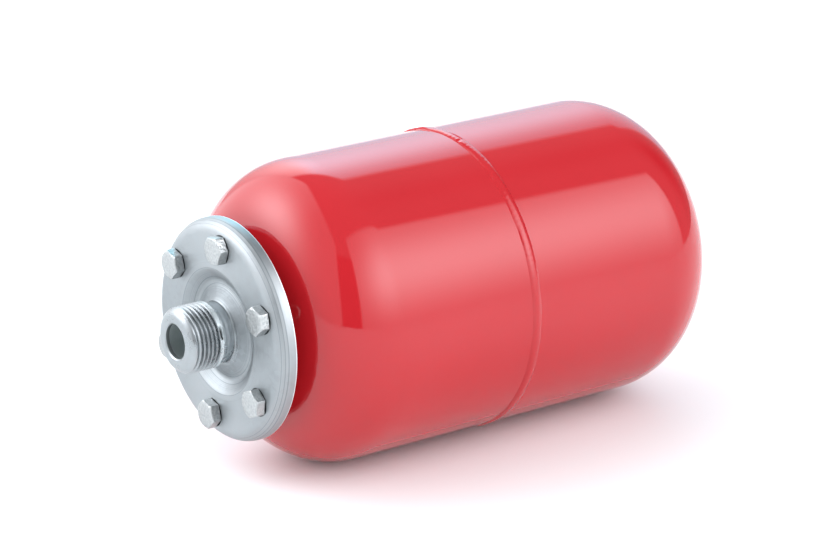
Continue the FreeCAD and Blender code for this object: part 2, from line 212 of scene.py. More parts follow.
class Signal:
    """A shader socket that adds, multiplies and compares like a number."""

    def __init__(self, tree, socket):
        self.tree = tree
        self.socket = socket

    def maths(self, operation, first, *rest):
        node = self.tree.nodes.new("ShaderNodeMath")
        node.operation = operation
        for entry, value in zip(node.inputs, (first,) + rest):
            feed(self.tree, entry, value)
        return Signal(self.tree, node.outputs[0])

    def __add__(self, other):
        return self.maths("ADD", self, other)

    def __sub__(self, other):
        return self.maths("SUBTRACT", self, other)

    def __mul__(self, other):
        return self.maths("MULTIPLY", self, other)

    def __truediv__(self, other):
        return self.maths("DIVIDE", self, other)

    def __pow__(self, other):
        return self.maths("POWER", self, other)

    def __radd__(self, other):
        return self.maths("ADD", other, self)

    def __rsub__(self, other):
        return self.maths("SUBTRACT", other, self)

    def __rmul__(self, other):
        return self.maths("MULTIPLY", other, self)

    def __rpow__(self, other):
        return self.maths("POWER", other, self)

    def other(self, name):
        """Another output of the same node."""
        return Signal(self.tree, self.socket.node.outputs[name])

    def clamp(self):
        return self.maths("MINIMUM", self.maths("MAXIMUM", self, 0.0), 1.0)


def feed(tree, entry, value):
    """Links a signal to a socket, or sets its value."""
    if isinstance(value, Signal):
        tree.links.new(value.socket, entry)
    else:
        entry.default_value = value


class Wiring:
    """The nodes of a material or of the surroundings."""

    def __init__(self, tree):
        self.tree = tree
        self.tree.nodes.clear()

    def node(self, kind, settings=None, out=0, **sockets):
        """Adds a node: its settings first, then its sockets, with _ for a space in their names."""
        made = self.tree.nodes.new("ShaderNode" + kind)
        for key, value in (settings or {}).items():
            setattr(made, key, value)
        for key, value in sockets.items():
            feed(self.tree, made.inputs[key.replace("_", " ")], value)
        return Signal(self.tree, made.outputs[out])

    def blend(self, amount, first, second):
        """A colour between two colours."""
        made = self.tree.nodes.new("ShaderNodeMix")
        made.data_type = "RGBA"
        feed(self.tree, made.inputs[0], amount)
        feed(self.tree, made.inputs[6], first)
        feed(self.tree, made.inputs[7], second)
        return Signal(self.tree, made.outputs[2])

    def rise(self, value, low, high):
        """0 below the first value, 1 above the second and smooth between them."""
        return self.node(
            "MapRange", {"interpolation_type": "SMOOTHSTEP"},
            Value=value, From_Min=low, From_Max=high)

    def fall(self, value, low, high):
        """1 below the first value, 0 above the second and smooth between them."""
        return 1.0 - self.rise(value, low, high)

    def between(self, value, low, high, edge):
        """1 from the first value to the second, 0 outside them, with soft edges."""
        return (self.rise(value, low - edge, low + edge)
                * self.fall(value, high - edge, high + edge))


class Finish(Wiring):
    """A material in the making."""

    def __init__(self, name):
        self.material = bpy.data.materials.new(name)
        self.material.use_nodes = True
        super().__init__(self.material.node_tree)
        self.place = self.node("TexCoord", out="Object")

    def noise(self, scale, detail=2.0, roughness=0.5):
        return self.node(
            "TexNoise", Vector=self.place, Scale=scale, Detail=detail, Roughness=roughness)

    def axes(self):
        """Millimetres along the tank, to its side and up from its axis."""
        split = self.node("SeparateXYZ", Vector=self.place)
        return [split.other(name) / MM for name in "XYZ"]

    def bump(self, height, strength, distance):
        return self.node("Bump", out="Normal", Height=height, Strength=strength, Distance=distance)

    def done(self, **sockets):
        surface = self.node("BsdfPrincipled", **sockets)
        output = self.tree.nodes.new("ShaderNodeOutputMaterial")
        feed(self.tree, output.inputs["Surface"], surface)
        return self.material


def rgb(red, green, blue):
    """A solid colour."""
    return red, green, blue, 1.0


def clock_angle(side, height):
    """Angle about the tank's axis in degrees: 0 at the top, 90 at the side that faces -Y."""
    return side.maths("ARCTAN2", side * -1.0, height) * math.degrees(1)


def red_paint():
    """Glossy sprayed enamel with a faint orange peel."""
    finish = Finish("red_paint")
    peel = finish.noise(420.0, 2.0, 0.45)
    wave = finish.noise(70.0, 1.0, 0.4)
    cloud = finish.noise(14.0, 3.0, 0.5)
    colour = finish.blend(cloud, rgb(0.405, 0.011, 0.0155), rgb(0.45, 0.014, 0.020))
    # it lies thin and dull over the rough places where the weld starts and stops
    along, side, height = finish.axes()
    across = along - SEAM_X
    from_seam = across.maths("ABSOLUTE", across)
    ragged = clock_angle(side, height) + 8.0 * finish.noise(700.0)
    start = (finish.between(ragged - 2.4 * from_seam, -36.0, -9.0, 0.6)
             * finish.fall(from_seam, 2.6, 3.1))
    stop = finish.between(ragged, 7.5, 14.0, 0.6) * finish.between(across, 0.5, 2.9, 0.25)
    toe = finish.between(ragged, -8.0, 20.0, 3.0) * finish.between(across, -2.9, -2.1, 0.2)
    dull = (start + stop + 0.7 * toe).clamp()
    return finish.done(
        Base_Color=colour, Roughness=0.40 + 0.06 * cloud, Specular_IOR_Level=0.0,
        Coat_Weight=1.0 - 0.85 * dull, Coat_Roughness=0.04, Coat_IOR=1.53,
        Normal=finish.bump(peel * 0.35 + wave, 0.18, 0.0004))


def galvanised_sheet():
    """Bright zinc on drawn sheet: soft clouds, faint crystals and the drawing tool's marks."""
    finish = Finish("galvanised_sheet")
    crystals = finish.node("TexVoronoi", out="Color", Vector=finish.place, Scale=420.0)
    crystal = finish.node("SeparateColor", Color=crystals)
    cloud = finish.rise(finish.noise(75.0, 4.0, 0.55), 0.3, 0.7)
    large = finish.noise(22.0, 1.0, 0.4)
    grain = finish.noise(900.0, 3.0, 0.6)
    along, side, height = finish.axes()
    clock = clock_angle(side, height)
    radius = (height * height + side * side) ** 0.5

    # rings left by the drawing tool, strongest on the rolled rim, the valley and the cone
    draw = finish.node(
        "TexNoise", {"noise_dimensions": "1D"},
        W=(radius + along) * 0.8, Scale=1.0, Detail=3.0, Roughness=0.6)
    drawn = finish.rise(radius, 50.0, 53.0) + finish.fall(radius, 33.0, 36.0)
    score = finish.rise(draw, 0.57, 0.63) * drawn * finish.rise(radius, 20.0, 23.0)

    # the seat is painted two lighter and two darker quarters, a painted reflection of the room
    beyond_valley = finish.rise(radius, 29.0, 33.0)
    seat = beyond_valley * finish.fall(radius, 50.0, 54.0)
    quarter = (height * height - side * side) / (radius * radius)
    # painted shade darkens the cone to damp its highlight, and a painted highlight lightens the
    # rounded nose
    cone = finish.rise(along, 4.0, 6.0) * finish.fall(radius, 20.0, 23.5)
    nose = finish.fall(along, -14.5, -12.5)
    shade = (0.23 - 0.23 * cone + 0.25 * nose + 0.21 * beyond_valley
             + (quarter * seat + cloud + large) * 0.19)
    tone = finish.blend(shade, rgb(0.206, 0.225, 0.236), rgb(0.432, 0.454, 0.466))
    tone = finish.blend(crystal * 0.25, tone, rgb(0.40, 0.445, 0.47))
    tone = finish.blend(score * 0.45, tone, rgb(0.12, 0.14, 0.15))

    # a painted highlight runs along the trimmed edge of the sheet
    trimmed = finish.rise(along, RIM_END_X - 0.75, RIM_END_X - 0.55)
    tone = finish.blend(trimmed, tone, rgb(0.80, 0.84, 0.86))
    # the plain neck behind the thread is painted lighter, a painted highlight
    neck = (finish.rise(along, 0.5, 0.9) * finish.fall(along, 5.6, 6.6)
            * finish.fall(radius, 15.6, 16.2))
    tone = finish.blend(neck, tone, rgb(0.64, 0.68, 0.70))
    # the land where the thread runs out is scuffed bright
    land_start = (clock - GROOVE_CLOCK) * (THREAD_PITCH / 360) - 1.8
    land = (finish.rise(along - land_start, -0.15, 0.15) * finish.fall(along, 0.1, 0.3)
            * finish.rise(radius, 15.2, 15.5)
            * finish.rise(clock, -75.0, -40.0) * finish.fall(clock, 140.0, 175.0))
    tone = finish.blend(land, tone, rgb(0.58, 0.64, 0.66))
    # the inside of the nipple is dull; painted shade darkens its mouth and painted light brightens
    # it deeper in
    inside = finish.fall(radius, 12.7, 12.9) * finish.rise(along, -17.35, -17.2)
    past_mouth = finish.rise(along, -15.6, -15.0)
    bore_shading = finish.blend(past_mouth, rgb(0.12, 0.135, 0.135), rgb(0.58, 0.64, 0.64))
    tone = finish.blend(inside, tone, bore_shading)

    # painted shadow round the bolt heads and painted shade where the last groove of the thread
    # stops
    turns = (clock - FIRST_BOLT) / BOLT_SPACING + 0.5
    spread = (turns.maths("FRACT", turns) - 0.5) * math.radians(BOLT_SPACING)
    outward = radius * spread.maths("COSINE", spread) - BOLT_CIRCLE
    aside = radius * spread.maths("SINE", spread)
    from_bolt = (outward * outward + aside * aside) ** 0.5
    bolt_shadow = (finish.fall(from_bolt, 6.9, 7.3)
                   * finish.fall(along, SEAT_X + 0.5, SEAT_X + 0.8))
    groove_end_shade = (finish.rise(clock, 56.0, 70.0) * finish.fall(clock, 83.0, 84.5)
                  * finish.between(along, -1.35, -0.35, 0.25) * finish.rise(radius, 14.5, 14.6))
    painted_shade = (bolt_shadow + groove_end_shade).clamp()

    # the thread and its neck were rolled smooth
    smooth = finish.fall(radius, 16.7, 17.3)
    return finish.done(
        Base_Color=finish.blend(painted_shade, tone, rgb(0.015, 0.018, 0.02)),
        Metallic=(1.0 - 0.8 * inside) * (1.0 - painted_shade) * (1.0 - 0.5 * land),
        Roughness=0.40 - 0.16 * smooth + 0.30 * inside + 0.10 * cloud + 0.04 * crystal,
        Normal=finish.bump(grain * 0.3 + cloud + draw * (0.6 + drawn * 2.4), 0.2, 0.0003))


def zinc_plate():
    """Bright zinc plating on the fasteners, uneven from forging and brushed by the spanner."""
    finish = Finish("zinc_plate")
    cloud = finish.noise(160.0, 4.0, 0.6)
    grain = finish.noise(1500.0, 3.0, 0.6)
    forged = finish.rise(finish.noise(850.0, 2.0, 0.5), 0.32, 0.68)
    tone = finish.blend(
        cloud * 0.4 + forged * 0.6, rgb(0.365, 0.382, 0.39), rgb(0.515, 0.53, 0.525))
    # painted shadow darkens the step between each bolt's head and the flange
    along = finish.axes()[0]
    head_gap_shadow = (finish.rise(along, SEAT_X - 0.43, SEAT_X - 0.38)
            * finish.fall(along, SEAT_X - 0.02, SEAT_X + 0.02))
    return finish.done(
        Base_Color=finish.blend(head_gap_shadow, tone, rgb(0.02, 0.02, 0.02)),
        Metallic=1.0 - head_gap_shadow, Roughness=0.24 + 0.16 * cloud + 0.4 * head_gap_shadow,
        Normal=finish.bump(grain * 0.5 + forged * 0.8 + cloud, 0.6, 0.0003))


def rubber(name, tone):
    """Matt black rubber, faintly clouded."""
    finish = Finish(name)
    grain = finish.noise(600.0, 3.0, 0.6)
    cloud = finish.noise(40.0, 3.0, 0.5)
    return finish.done(
        Base_Color=finish.blend(
            cloud, rgb(tone, tone, tone), rgb(tone * 1.7, tone * 1.7, tone * 1.6)),
        Roughness=0.55 + 0.15 * grain, Normal=finish.bump(grain, 0.2, 0.0002))


def valve_brass():
    """Turned brass."""
    finish = Finish("valve_brass")
    cloud = finish.noise(220.0, 3.0, 0.6)
    return finish.done(
        Base_Color=finish.blend(cloud, rgb(0.68, 0.47, 0.20), rgb(0.80, 0.60, 0.30)),
        Metallic=1.0, Roughness=0.22 + 0.14 * cloud, Normal=finish.bump(cloud, 0.2, 0.0001))


def spring_steel():
    """Bright drawn wire."""
    finish = Finish("spring_steel")
    cloud = finish.noise(500.0, 2.0, 0.5)
    return finish.done(
        Base_Color=finish.blend(cloud, rgb(0.45, 0.45, 0.46), rgb(0.60, 0.60, 0.61)),
        Metallic=1.0, Roughness=0.25 + 0.1 * cloud)


def cap_plastic():
    """Black moulded plastic."""
    finish = Finish("cap_plastic")
    grain = finish.noise(900.0, 3.0, 0.6)
    return finish.done(
        Base_Color=finish.blend(grain, rgb(0.012, 0.012, 0.013), rgb(0.022, 0.022, 0.023)),
        Roughness=0.38 + 0.12 * grain, Normal=finish.bump(grain, 0.3, 0.0001))


# Painted body

def dome_joint(crown, knuckle):
    """Angle at which a dome's knuckle meets its crown, and how far its crown centre lies back."""
    reach = math.sqrt((crown - knuckle) ** 2 - (BODY_RADIUS - knuckle) ** 2)
    return math.degrees(math.atan2(BODY_RADIUS - knuckle, reach)), reach


def front_shell(material):
    """Front half: from the neck over its dome to the weld, and back along the inside."""
    joint, reach = dome_joint(FRONT_CROWN, FRONT_KNUCKLE)
    crown_x = FRONT_TANGENT_X + reach
    knuckle_r = BODY_RADIUS - FRONT_KNUCKLE
    fillet_r = NECK_RADIUS + NECK_FILLET
    inner = BODY_RADIUS - BODY_WALL
    foot = math.degrees(math.atan2(fillet_r, crown_x - NECK_FILLET_X))
    edge_x = SEAM_X - SEAM_ROOT / 2
    outline = Outline(RING_FRONT_X, NECK_RADIUS, 3.0)
    outline.line(NECK_FILLET_X, NECK_RADIUS)
    outline.arc(NECK_FILLET_X, fillet_r, 90 - foot)
    outline.arc(crown_x, 0, foot - joint)
    outline.arc(FRONT_TANGENT_X, knuckle_r, joint - 90)
    outline.line(FRONT_TANGENT_X + 0.5, BODY_RADIUS)
    outline.line(edge_x - SEAM_SLOPE, BODY_RADIUS, 3)
    outline.lines((edge_x, inner + 0.4), (edge_x, inner), (FRONT_TANGENT_X, inner))
    outline.arc(FRONT_TANGENT_X, knuckle_r, 90 - joint)
    outline.arc(crown_x, 0, joint - foot)
    outline.arc(NECK_FILLET_X, fillet_r, foot - 90)
    outline.lines((RING_FRONT_X, NECK_RADIUS - BODY_WALL), (RING_FRONT_X, NECK_RADIUS))
    return turned(
        "front_shell", outline, 240, material, "tank", "front_half", slot="red_paint", sharp=18.0)


def rear_shell(material):
    """Rear half: its joggled edge under the weld, the wall, the dome and the valve's seat."""
    joint, reach = dome_joint(REAR_CROWN, REAR_KNUCKLE)
    crown_x = REAR_TANGENT_X - reach
    knuckle_r = BODY_RADIUS - REAR_KNUCKLE
    lapped = BODY_RADIUS - (BODY_WALL + LAP_GAP)
    inner = BODY_RADIUS - BODY_WALL
    lap_x = SEAM_X - SEAM_ROOT / 2 - LAP_LENGTH
    root_x = SEAM_X + SEAM_ROOT / 2
    seat = math.degrees(math.asin(VALVE_SEAT_RADIUS / REAR_CROWN))
    outline = Outline(lap_x, lapped, 3.0)
    outline.lines((root_x, lapped), (root_x + SEAM_SLOPE, BODY_RADIUS))
    outline.line(REAR_TANGENT_X - 0.5, BODY_RADIUS, 3)
    outline.line(REAR_TANGENT_X, BODY_RADIUS)
    outline.arc(REAR_TANGENT_X, knuckle_r, joint - 90)
    outline.arc(crown_x, 0, seat - joint)
    outline.lines(
        (VALVE_SEAT_X, STEM_HOLE), (VALVE_SEAT_X - BODY_WALL, STEM_HOLE),
        (VALVE_SEAT_X - BODY_WALL, VALVE_SEAT_RADIUS))
    outline.arc(crown_x, 0, joint - seat)
    outline.lines(
        (REAR_TANGENT_X, inner), (root_x + SEAM_SLOPE + 0.3, inner),
        (root_x + 0.3, lapped - BODY_WALL), (lap_x, lapped - BODY_WALL), (lap_x, lapped))
    return turned(
        "rear_shell", outline, 240, material, "tank", "rear_half", slot="red_paint", sharp=18.0)


def swell(value, centre, width):
    """A smooth hump of height 1."""
    return math.exp(-((value - centre) / width) ** 2)


def laid_by_hand(x, y, z):
    """Where a point of the even bead lies on the real one, in metres."""
    clock = math.degrees(math.atan2(-y, z))
    radius = math.hypot(y, z) / MM
    across = x / MM - SEAM_X
    if abs(across) > 3.0:
        return x, y, z
    crown = max(0.0, radius - BODY_RADIUS)
    angle = math.radians(clock)
    spot = Vector((math.cos(angle) * 9, math.sin(angle) * 9, across * 0.35))
    drift = noise.noise(spot)
    ripple = 0.05 * math.sin(math.radians(clock * 170) + across * 0.9 + drift * 2)
    # it is thicker and wider where it starts and stops, and burnt into pits there
    lump = 0.9 * swell(clock, WELD_START, 7.0) * swell(across, -0.6, 2.2)
    lump += 0.45 * swell(clock, WELD_STOP, 2.2) * swell(across, 1.0, 1.4)
    lift = crown * (0.16 * drift + ripple) + lump * min(1.0, crown * 1.6)
    burnt = swell(clock, WELD_START - 2.0, 7.0) + 0.8 * swell(clock, WELD_STOP, 3.0)
    pitted = max(0.0, noise.noise(spot * 3.1 + Vector((2, 7, 4))))
    lift -= 1.4 * burnt * min(1.0, crown * 3) * pitted
    shift = 0.16 * noise.noise(spot * 1.7 + Vector((5, 1, 2)))
    shift += across * 0.38 * swell(clock, WELD_START, 8.0)
    scale = (radius + min(lift, BODY_RADIUS + BEAD_LIMIT - radius)) / radius
    return (x / MM + shift) * MM, y * scale, z * scale


def weld_bead(material):
    """Weld round the middle, with its ripples, its uneven edges and its rough start and stop."""
    section = [(-across, height) for across, height in BEAD_SIDE]
    section += [(0.0, BEAD_TOP), *BEAD_SIDE[::-1], section[0]]
    points = [(SEAM_X + across, BODY_RADIUS + height) for across, height in section]
    mesh = Outline(*points[0]).lines(*points[1:]).mesh
    turn(mesh, BEAD_STEPS)
    for vert in mesh.verts:
        vert.co = laid_by_hand(*vert.co)
    tidy(mesh, 40.0)
    return piece("weld_bead", mesh, material, "tank", "girth_weld", slot="red_paint")


def fillet_weld(material):
    """Weld between the ring and the drawn neck."""
    outline = Outline(RING_BACK_X, NECK_RADIUS)
    for back, up in ((0.0, 2.0), (0.8, 1.3), (1.4, 0.7), (2.0, 0.0), (0.0, 0.0)):
        outline.line(RING_BACK_X + back, NECK_RADIUS + up)
    return turned(
        "fillet_weld", outline, 160, material, "tank", "neck_weld", slot="red_paint", sharp=50.0)


# Threads

# One pitch of a rounded thread: (share of the pitch, share of the depth), from crest to crest
HALF_THREAD = (
    (0.0, 0.0), (0.049, 0.014), (0.092, 0.055), (0.122, 0.115), (0.164, 0.24), (0.25, 0.5),
    (0.336, 0.76), (0.378, 0.885), (0.408, 0.945), (0.451, 0.986))
THREAD_FORM = (
    *HALF_THREAD, (0.5, 1.0), *((1 - share, depth) for share, depth in HALF_THREAD[::-1]))


def threaded_wall(radius, pitch, first_x, turns, steps):
    """A plain wall gridded along a right-hand helix, and each point's share of the depth."""
    outline = Outline(first_x, radius)
    for share, _ in THREAD_FORM[1:]:
        outline.line(first_x + share * pitch, radius)
    single = outline.mesh
    depth = single.verts.layers.float.new("depth")
    for vert in single.verts:
        share = (vert.co.x / MM - first_x) / pitch
        vert[depth] = min(THREAD_FORM, key=lambda form: abs(form[0] - share))[1]
    bmesh.ops.spin(
        single, geom=single.verts[:] + single.edges[:], cent=(0, 0, 0), axis=(1, 0, 0),
        dvec=(pitch * MM / steps, 0, 0), angle=math.tau, steps=steps, use_merge=False,
        use_duplicate=False)
    one_turn = bpy.data.meshes.new("one_turn")
    single.to_mesh(one_turn)
    single.free()
    mesh = bmesh.new()
    for _ in range(turns):
        bmesh.ops.translate(mesh, verts=mesh.verts, vec=(pitch * MM, 0, 0))
        mesh.from_mesh(one_turn)
    bpy.data.meshes.remove(one_turn)
    return mesh, mesh.verts.layers.float["depth"]


def trim(mesh, x, keep_right):
    """Cuts a mesh off square to the axis."""
    bmesh.ops.bisect_plane(
        mesh, geom=mesh.verts[:] + mesh.edges[:] + mesh.faces[:], dist=1e-7,
        plane_co=(x * MM, 0, 0), plane_no=(1, 0, 0), clear_inner=keep_right,
        clear_outer=not keep_right)


def rim_edges(mesh, x):
    """The open edges that lie at one place along the axis."""
    return [edge for edge in mesh.edges
            if edge.is_boundary and all(abs(vert.co.x / MM - x) < 0.004 for vert in edge.verts)]


def nose_limit(x):
    """Radius of the nipple's rounded nose."""
    run = min(NOSE_RADIUS, max(0.0, -THREAD_LENGTH - x))
    return THREAD_RADIUS - NOSE_RADIUS + math.sqrt(NOSE_RADIUS ** 2 - run ** 2)


def ease(value, low, high):
    """0 below the first value, 1 above the second and smooth between them."""
    share = min(1.0, max(0.0, (value - low) / (high - low)))
    return share * share * (3 - 2 * share)


def thread_radius(x, clock, depth):
    """Radius of the threaded nipple where the plain thread would have a share of its depth."""
    groove_x = GROOVE_X + THREAD_PITCH * (clock - GROOVE_CLOCK) / 360
    turned_by = clock + 360 * round((x - groove_x) / THREAD_PITCH)
    # the last turn runs out on a land that rises towards the neck, and ends in a short pocket
    run_out = ease(turned_by, *RUN_OUT)
    pocket = POCKET_DEPTH * ease(turned_by, *POCKET_STARTS) * (1 - ease(turned_by, *POCKET_STOPS))
    land = LAND_DEPTH * min(1.0, max(0.0, -x / LAND_SLOPE_LENGTH))
    depth = depth * (1 - run_out + pocket) + land * run_out
    radius = THREAD_RADIUS - THREAD_DEPTH * max(depth, ease(x, 0, THREAD_END))
    return min(radius, nose_limit(x))


def flange(material):
    """Deep-drawn flange in one skin: threaded nipple, cone, valley, bolt seat and rolled rim."""
    steps = 192
    neck_cut, neck_start = THREAD_END + 0.3, THREAD_END + 0.32
    mesh, depth_layer = threaded_wall(
        THREAD_RADIUS, THREAD_PITCH, THREAD_START_X, THREAD_TURNS, steps)
    for vert in mesh.verts:
        x, y, z = vert.co
        clock = math.degrees(math.atan2(-y, z)) % 360
        scale = thread_radius(x / MM, clock, vert[depth_layer]) * MM / math.hypot(y, z)
        vert.co = (x, y * scale, z * scale)
    bmesh.ops.remove_doubles(mesh, verts=mesh.verts, dist=2e-6)
    trim(mesh, NOSE_SEAM_X, keep_right=True)
    trim(mesh, neck_cut, keep_right=False)

    root = THREAD_RADIUS - THREAD_DEPTH
    outline = Outline(neck_start, root)
    front = [
        (CONE_FOOT_X, root, 1.3), (VALLEY_X, VALLEY_RADIUS, 2.6),
        (SEAT_X, SEAT_INNER_RADIUS, 3.0), (SEAT_X, FLANGE_RADIUS, RIM_ROLL),
        (RIM_END_X, FLANGE_RADIUS, 0.4), (RIM_END_X, FLANGE_RADIUS - SHEET, 0.4)]
    back = [
        (SEAT_X + SHEET, FLANGE_RADIUS - SHEET, RIM_ROLL - SHEET), (9.0, 32.33, 0.5),
        (14.42, 24.755, 5.1), (8.57, NIPPLE_INNER, 3.8), (BORE_FLOOR_X, NIPPLE_INNER, 2.5),
        (BORE_FLOOR_X, WATER_BORE, 0), (NOSE_TIP_X + 0.6, WATER_BORE, 0),
        (NOSE_TIP_X, WATER_BORE + 0.6, 0.15), (NOSE_TIP_X, THREAD_RADIUS - NOSE_RADIUS, 0)]
    outline.path(front + back)
    nose_angle = math.degrees(math.asin((-NOSE_SEAM_X - THREAD_LENGTH) / NOSE_RADIUS))
    outline.arc(-THREAD_LENGTH, THREAD_RADIUS - NOSE_RADIUS, nose_angle - 90)
    turn(outline.mesh, steps)
    body = bpy.data.meshes.new("flange_body")
    outline.mesh.to_mesh(body)
    mesh.from_mesh(body)
    bpy.data.meshes.remove(body)
    bmesh.ops.bridge_loops(mesh, edges=rim_edges(mesh, neck_cut) + rim_edges(mesh, neck_start))
    bmesh.ops.remove_doubles(mesh, verts=mesh.verts, dist=3e-6)
    tidy(mesh)
    return piece("connection_flange", mesh, material, "tank", "flange", slot="galvanised_sheet")


# Fasteners

def rounded_hexagon(mesh, across_flats, x, corner=0.35, cuts=6):
    """A ring of edges round a hexagon with softened corners, square to the axis."""
    across = across_flats / math.sqrt(3) * MM
    bmesh.ops.create_circle(
        mesh, cap_ends=True, segments=6, radius=across,
        matrix=Matrix.Rotation(math.pi / 2, 4, "Y"))
    bmesh.ops.bevel(
        mesh, geom=mesh.verts[:], offset=corner * MM, offset_type="OFFSET", segments=3, profile=0.5,
        affect="VERTICES", material=-1, clamp_overlap=True)
    flats = [edge for edge in mesh.edges if edge.calc_length() > 2 * corner * MM]
    bmesh.ops.subdivide_edges(mesh, edges=flats, cuts=cuts)
    bmesh.ops.delete(mesh, geom=mesh.faces[:], context="FACES_ONLY")
    for vert in mesh.verts:
        vert.co.x = x * MM
    return mesh.edges[:]


def next_ring(mesh, edges, shape):
    """Extrudes a ring of edges and moves each new point to the (x, radius) that shape gives."""
    made = bmesh.ops.extrude_edge_only(mesh, edges=edges)["geom"]
    for vert in (item for item in made if isinstance(item, bmesh.types.BMVert)):
        radius = math.hypot(vert.co.y, vert.co.z) / MM
        x, new_radius = shape(radius)
        factor = new_radius / radius
        vert.co = (x * MM, vert.co.y * factor, vert.co.z * factor)
    return [item for item in made if isinstance(item, bmesh.types.BMEdge) and item.is_boundary]


def hexagon_bolt():
    """One bolt along X with its head towards -X, bearing on the plane x = 0."""
    mesh = bmesh.new()
    low, face = -WASHER_FACE_HEIGHT, -HEAD_HEIGHT

    def chamfer(radius):
        """Where the 30 degree chamfer of the head lies, at a distance from the bolt's axis."""
        return face + max(0.0, radius - HEAD_FACE_RADIUS) * math.tan(math.radians(30))

    upper = rounded_hexagon(mesh, HEAD_FLATS, low)
    for shape in (
            lambda radius: (low - 0.12, radius),
            lambda radius: (chamfer(radius) + 0.08, radius),
            lambda radius: (chamfer(radius - 0.06) - 0.01, radius - 0.06),
            lambda radius: (face + 0.04, HEAD_FACE_RADIUS + 0.02),
            lambda radius: (face, HEAD_FACE_RADIUS - 0.12),
            lambda radius: (face + 0.02, HEAD_DISH_RADIUS)):
        upper = next_ring(mesh, upper, shape)
    bmesh.ops.contextual_create(mesh, geom=upper)
    lower = [edge for edge in mesh.edges if edge.is_boundary]
    for x, end_radius in (
            (low, WASHER_FACE_RADIUS - 0.25), (0.0, WASHER_FACE_RADIUS - 0.25),
            (0.0, BOLT_RADIUS), (BOLT_LENGTH - BOLT_POINT, BOLT_RADIUS),
            (BOLT_LENGTH, BOLT_RADIUS - BOLT_POINT)):
        lower = next_ring(mesh, lower, lambda radius: (x, end_radius))
    bmesh.ops.contextual_create(mesh, geom=lower)
    return mesh


def flange_bolts(material):
    """The six bolts, each turned the way it was left when it was tightened."""
    gathered = bmesh.new()
    for index, turned_by in enumerate(BOLT_TURNS):
        bolt = hexagon_bolt()
        clock = math.radians(FIRST_BOLT + BOLT_SPACING * index)
        bmesh.ops.rotate(
            bolt, verts=bolt.verts, cent=(0, 0, 0),
            matrix=Matrix.Rotation(math.radians(turned_by), 3, "X"))
        hole = Vector((SEAT_X, -BOLT_CIRCLE * math.sin(clock), BOLT_CIRCLE * math.cos(clock)))
        bmesh.ops.translate(bolt, verts=bolt.verts, vec=hole * MM)
        one = bpy.data.meshes.new("one_bolt")
        bolt.to_mesh(one)
        bolt.free()
        gathered.from_mesh(one)
        bpy.data.meshes.remove(one)
    tidy(gathered, 24.0)
    return piece("hexagon_bolts", gathered, material, "tank", "flange_bolts", slot="zinc_plate")


def from_solid(name, node, material, body, sharp=28.0):
    """A shaded copy of a solid's own mesh, merged so that its curved faces show smooth."""
    mesh = bmesh.new()
    mesh.from_mesh(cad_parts[node].data)
    tidy(mesh, sharp)
    return piece(name, mesh, material, body, node)


def core_spring(material):
    """The valve core's spring, shaded from its solid and given a mesh of its own."""
    spring = from_solid("pin_spring", "core_spring", material, "tank", 60.0)
    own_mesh(spring)


# Scene

# The photograph's viewpoint, from the outline and the bolt circle: degrees and millimetres
CAMERA_AZIMUTH, CAMERA_ELEVATION, CAMERA_ROLL = -35.76, 18.33, -0.57
CAMERA_DISTANCE = 1781.25
CAMERA_LENS = 150.343
AIM_X, AIM_RIGHT, AIM_UP = 146.875, -15.185, -1.779

# The room's walls, in degrees: the bearing that each stands at, its left and right ends from
# there, the height of its top edge, and how soft its edges are where they aren't plain
REAR_BEARING = 150
REAR_WALL = (REAR_BEARING, -33, 30, 47.5, 2.5)
LEFT_WALL = (-120, -66, 69, 76)
FRONT_WALL = (8, -34, 54, 67.5, 2.5)
DARK_SCREEN = (-38, -12.5, 12.5, 49)
FLOOR_Z = -77.6


def camera():
    """The viewpoint, aimed beside the tank's middle as the photograph is framed."""
    azimuth, elevation, roll = map(
        math.radians, (CAMERA_AZIMUTH, CAMERA_ELEVATION, CAMERA_ROLL))
    back = Vector((math.sin(azimuth) * math.cos(elevation),
                   -math.cos(azimuth) * math.cos(elevation), math.sin(elevation)))
    level_right = (-back).cross(Vector((0, 0, 1))).normalized()
    level_up = level_right.cross(-back)
    right = level_right * math.cos(roll) + level_up * math.sin(roll)
    up = level_up * math.cos(roll) - level_right * math.sin(roll)
    at = Vector((AIM_X, 0, 0)) + right * AIM_RIGHT + up * AIM_UP + back * CAMERA_DISTANCE
    data = bpy.data.cameras.new("camera")
    data.lens, data.sensor_width = CAMERA_LENS, 36.0
    data.clip_start, data.clip_end = 0.05, 20.0
    made = bpy.data.objects.new("camera", data)
    facing = Matrix((right, up, back)).transposed().to_4x4()
    made.matrix_world = Matrix.Translation(at * MM) @ facing
    bpy.context.scene.collection.objects.link(made)
    bpy.context.scene.camera = made


